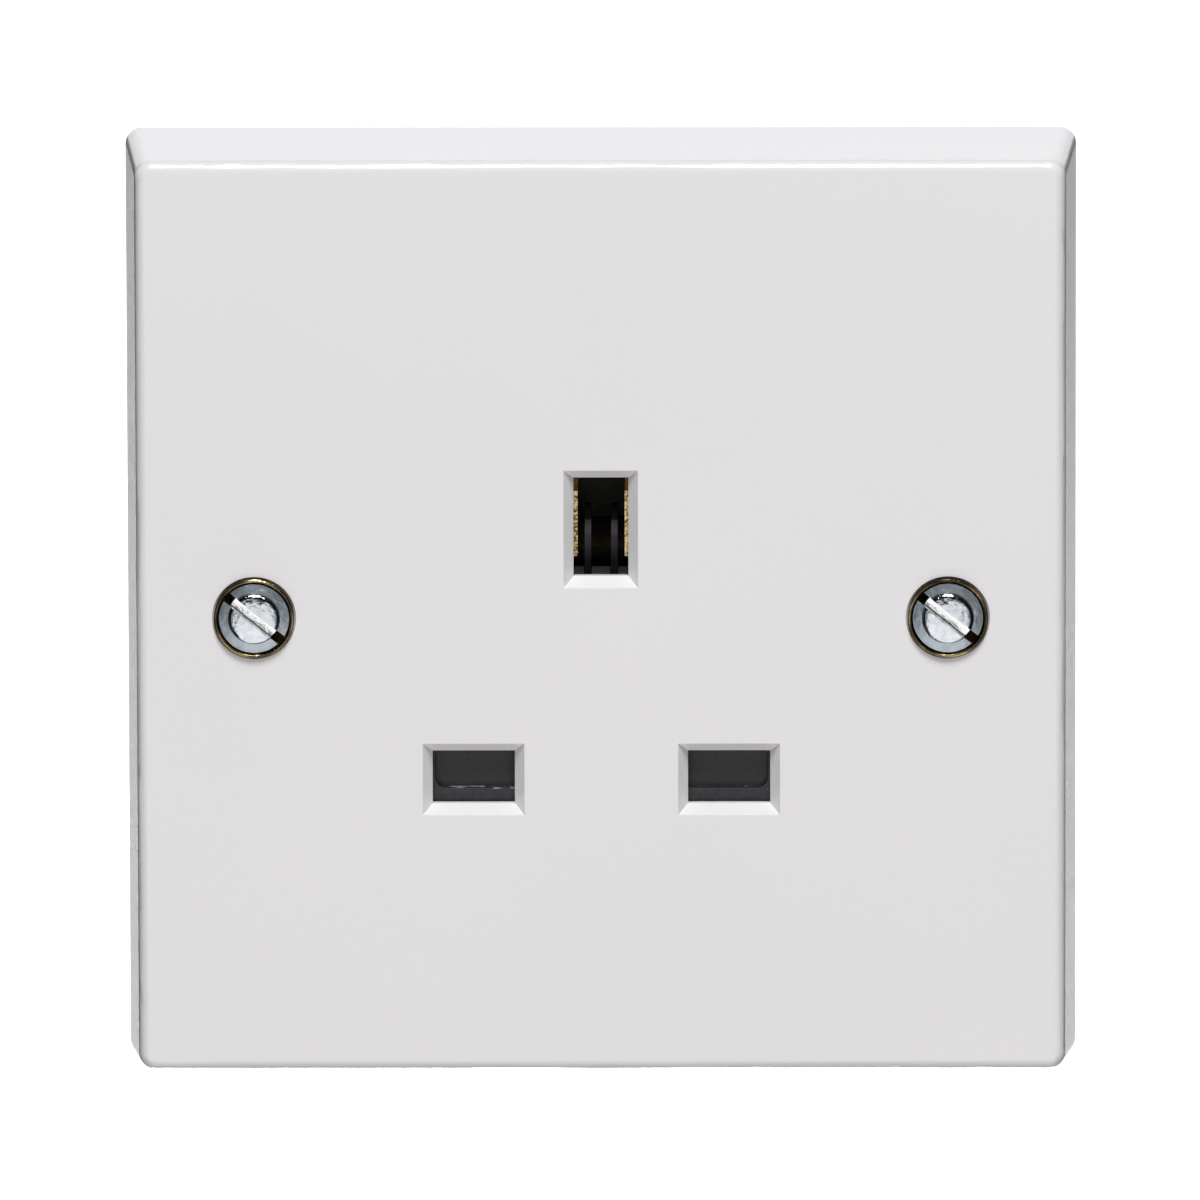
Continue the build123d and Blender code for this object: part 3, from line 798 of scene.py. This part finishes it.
crown_curve = (CROWN_RADIUS**2 + CROWN_DROP**2) / (2 * CROWN_DROP)
crown_angle = math.asin(CROWN_RADIUS / crown_curve)
run = DOME_RADIUS - CROWN_RADIUS
fall = DOME_RISE - CROWN_DROP
shoulder_curve = (run**2 + fall**2) / (
    2 * (fall * math.cos(crown_angle) - run * math.sin(crown_angle))
)
shoulder_angle = 2 * math.atan2(fall, run) - crown_angle
dome = []
for step in range(CROWN_STEPS + 1):
    angle = crown_angle * step / CROWN_STEPS
    crown_y = HEAD_RIM_Y - DOME_RISE + crown_curve * (1 - math.cos(angle))
    dome.append((crown_curve * math.sin(angle), crown_y))
for step in range(1, SHOULDER_STEPS + 1):
    angle = crown_angle + (shoulder_angle - crown_angle) * step / SHOULDER_STEPS
    dome.append(
        (
            CROWN_RADIUS + shoulder_curve * (math.sin(angle) - math.sin(crown_angle)),
            crown_y + shoulder_curve * (math.cos(crown_angle) - math.cos(angle)),
        )
    )
head_profile = [
    *dome,
    (HEAD_RADIUS, HEAD_RIM_Y + RING_DROP),
    (HEAD_RADIUS, HEAD_CONE_Y),
    (NECK_RADIUS, NECK_Y),
    (NECK_RADIUS, THREAD_START_Y + NECK_LAP),
    (0.0, THREAD_START_Y + NECK_LAP),
]
slot_depth = (HEAD_RIM_Y - SAW_CLEAR, FIXING_SLOT_FLOOR)
for side, x in (("left", -FIXING_X), ("right", FIXING_X)):
    head = turned(f"{side}_fixing_head", x, 0.0, head_profile, HEAD_SIDES)
    slotted(head, x, 0.0, FIXING_SLOT, *slot_depth, FIXING_SLOT_TURN)
    eased(head, HEAD_EDGE * MM)
    shank = cut_thread(
        f"{side}_fixing_shank", x, 0.0, THREAD_START_Y, SCREW_TIP_Y, FIXING_THREAD, bright_zinc
    )
    screw = joined(f"{side}_fixing_screw", head, shank)
    dressed(screw, bright_zinc, "socket_body", "zinc_screw", f"fixing_screw_{side}")

# Terminal screws
# Slotted cheese-head steel screws, dull zinc plated, one in each terminal block. They
# are backed out so that a wire can be pushed in.
CHEESE_HEAD = ((2.7, 1.6), (2.7, 0.2), (2.45, 0.0))
TERMINAL_THREAD = {"crest_radius": 2.0, "root_radius": 1.6, "pitch": 0.7, "runout": 0.4}
SMALL_HEAD_SIDES = 72
SMALL_HEAD_EDGE = 0.08
SMALL_SLOT = 0.8
SMALL_SLOT_DEPTH = 0.8
SHANK_LAP = 0.3


def small_screw(solid, name, rim, thread, slot_turn):
    """A slotted screw in place of its solid, its rim as radii so far below the head's top."""
    low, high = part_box(solid)
    x = (low.x + high.x) / 2 / MM
    z = (low.z + high.z) / 2 / MM
    tip_y = low.y / MM
    top_y = high.y / MM
    edge = [(radius, top_y - drop) for radius, drop in rim]
    seat_y = edge[0][1]
    head_profile = [(0.0, seat_y), *edge, (0.0, top_y)]
    head = turned(f"{name}_head", x, z, head_profile, SMALL_HEAD_SIDES)
    slot_depth = (top_y - SMALL_SLOT_DEPTH, top_y + SAW_CLEAR)
    slotted(head, x, z, SMALL_SLOT, *slot_depth, slot_turn)
    eased(head, SMALL_HEAD_EDGE * MM)
    shank = cut_thread(f"{name}_shank", x, z, tip_y, seat_y, thread, dull_zinc, SHANK_LAP)
    screw = joined(f"{name}_screw", head, shank)
    dressed(screw, dull_zinc, "socket_body", "zinc_screw", solid)


dull_zinc, tree, shader, place = finish("dull_zinc")
plating = grain(tree, place, 520.0, 5.0)
brushed = grain(tree, place, 2200.0, 4.0)
wire(
    tree,
    tinted(
        tree,
        plating,
        (
            (0.30, (0.52, 0.53, 0.54)),
            (0.55, (0.66, 0.66, 0.65)),
            (0.80, (0.74, 0.73, 0.70)),
        ),
    ),
    shader.inputs["Base Color"],
)
wire(tree, between(tree, brushed, 0.2, 0.36), shader.inputs["Roughness"])
roughened(tree, shader, brushed, 0.005 * MM, 0.35)
shader.inputs["Metallic"].default_value = 1.0

for circuit, slot_turn in (("live", -35.0), ("neutral", -35.0), ("earth", 20.0)):
    small_screw(
        f"{circuit}_terminal_screw", f"{circuit}_clamp", CHEESE_HEAD, TERMINAL_THREAD, slot_turn
    )

# Base screws
# Two short self-tapping screws with rounded heads, through the ears of the base into
# bosses on the back of the plate. Dull zinc plated like the terminal screws.
ROUND_HEAD = ((2.6, 1.6), (2.6, 0.8), (2.5, 0.45), (2.25, 0.18), (1.8, 0.0))
TAPPING_THREAD = {"crest_radius": 1.25, "root_radius": 0.95, "pitch": 1.0, "runout": 1.0}

for side, slot_turn in (("left", 62.0), ("right", -15.0)):
    small_screw(f"base_screw_{side}", f"{side}_base", ROUND_HEAD, TAPPING_THREAD, slot_turn)

# Floor
# A roll of pale matt paper laid out below and behind the socket, which fills the whole
# of the picture behind it.
FLOOR_Z = -1.0
FLOOR_HALF = 1.15
FLOOR_NEAR = 1.6
FLOOR_FAR = 8.0

pale_paper, tree, shader, place = finish("pale_paper")
fibres = grain(tree, place, 40.0, 4.0)
wire(
    tree,
    tinted(tree, fibres, ((0.3, (0.86, 0.86, 0.86)), (0.7, (0.88, 0.88, 0.88)))),
    shader.inputs["Base Color"],
)
wire(tree, between(tree, fibres, 0.8, 0.9), shader.inputs["Roughness"])

shape = bmesh.new()
shape.faces.new(
    [
        shape.verts.new((x, y, FLOOR_Z))
        for x, y in (
            (-FLOOR_HALF, FLOOR_NEAR),
            (FLOOR_HALF, FLOOR_NEAR),
            (FLOOR_HALF, FLOOR_FAR),
            (-FLOOR_HALF, FLOOR_FAR),
        )
    ]
)
floor = as_piece(shape, "floor")
floor.data.materials.append(pale_paper)

# Studio light
# A soft box high in front, a white card level in front and one low over the table, a dim
# card at each side, a card and a soft box behind, and a wash on the paper.
WHITE = (1.0, 1.0, 1.0)
DAYLIGHT = (0.985, 0.985, 1.0)
COOL = (0.94, 0.97, 1.0)
WARM = (1.0, 0.975, 0.97)
MIDDLE = (0.0, 0.0, 0.0)
ROOM_STRENGTH = 0.008


def soft_box(name, place, width, height, power, tint, aim=MIDDLE):
    """A rectangular soft light at a place, turned to the socket or to another aim."""
    lamp = bpy.data.lights.new(name, "AREA")
    lamp.shape = "RECTANGLE"
    lamp.size = width
    lamp.size_y = height
    lamp.energy = power
    lamp.color = tint
    box = set_out(name, lamp)
    box.location = place
    box.visible_camera = False
    box.rotation_euler = (Vector(aim) - Vector(place)).to_track_quat("-Z", "Y").to_euler()


soft_box("main", (0.04, -0.57, 0.91), 0.4, 0.42, 11.4, DAYLIGHT)
soft_box("front_card", (0.0, -1.28, -0.11), 0.95, 0.5, 1.7, WARM)
soft_box("table_card", (0.0, -0.41, -0.555), 0.8, 1.05, 3.15, WARM)
soft_box("left_card", (-0.62, -0.9, -0.2), 0.55, 0.75, 0.4, COOL)
soft_box("right_card", (0.62, -0.9, -0.2), 0.55, 0.75, 0.4, COOL)
soft_box("rear_card", (0.0, 1.3, 0.45), 1.5, 0.9, 5.1, COOL)
soft_box("back_fill", (0.0, 1.0, -0.8), 0.45, 0.45, 6.0, WHITE)
soft_box("paper_wash", (0.0, 4.6, 0.2), 3.0, 3.4, 84.0, WHITE, (0.0, 4.6, FLOOR_Z))

room = bpy.data.worlds.new("room")
room.use_nodes = True
tree = room.node_tree
dim = tree.nodes["Background"]
dim.inputs["Color"].default_value = (0.9, 0.95, 1.0, 1.0)
dim.inputs["Strength"].default_value = ROOM_STRENGTH
pale = node(tree, "ShaderNodeBackground")
pale.inputs["Color"].default_value = (*WHITE, 1.0)
path = node(tree, "ShaderNodeLightPath")
either = node(tree, "ShaderNodeMixShader")
wire(tree, path.outputs["Is Camera Ray"], either.inputs[0])
wire(tree, dim.outputs[0], either.inputs[1])
wire(tree, pale.outputs[0], either.inputs[2])
wire(tree, either.outputs[0], tree.nodes["World Output"].inputs["Surface"])
bpy.context.scene.world = room
bpy.context.scene.view_settings.view_transform = "Standard"

# Camera
# A long lens straight in front and a little above, as in the picture.
CAMERA_RISE = math.radians(12.0)
CAMERA_SIDE = math.radians(0.448)
CAMERA_ROLL = math.radians(0.144)
CAMERA_DISTANCE = 2.5
CAMERA_LENS = 859.35
AIM_RIGHT = -0.161 * MM
AIM_UP = -0.695 * MM

back = Vector(
    (
        math.sin(CAMERA_SIDE) * math.cos(CAMERA_RISE),
        -math.cos(CAMERA_SIDE) * math.cos(CAMERA_RISE),
        math.sin(CAMERA_RISE),
    )
)
level_right = Vector((math.cos(CAMERA_SIDE), math.sin(CAMERA_SIDE), 0.0))
level_up = back.cross(level_right)
right = level_right * math.cos(CAMERA_ROLL) - level_up * math.sin(CAMERA_ROLL)
up = level_up * math.cos(CAMERA_ROLL) + level_right * math.sin(CAMERA_ROLL)
aim = right * AIM_RIGHT + up * AIM_UP
facing = Matrix((right, up, back)).transposed().to_4x4()
lens = bpy.data.cameras.new("camera")
lens.lens = CAMERA_LENS
lens.sensor_width = 36.0
lens.clip_start = 0.1
lens.clip_end = 30.0
camera = set_out("camera", lens)
camera.matrix_world = Matrix.Translation(aim + back * CAMERA_DISTANCE) @ facing
bpy.context.scene.camera = camera
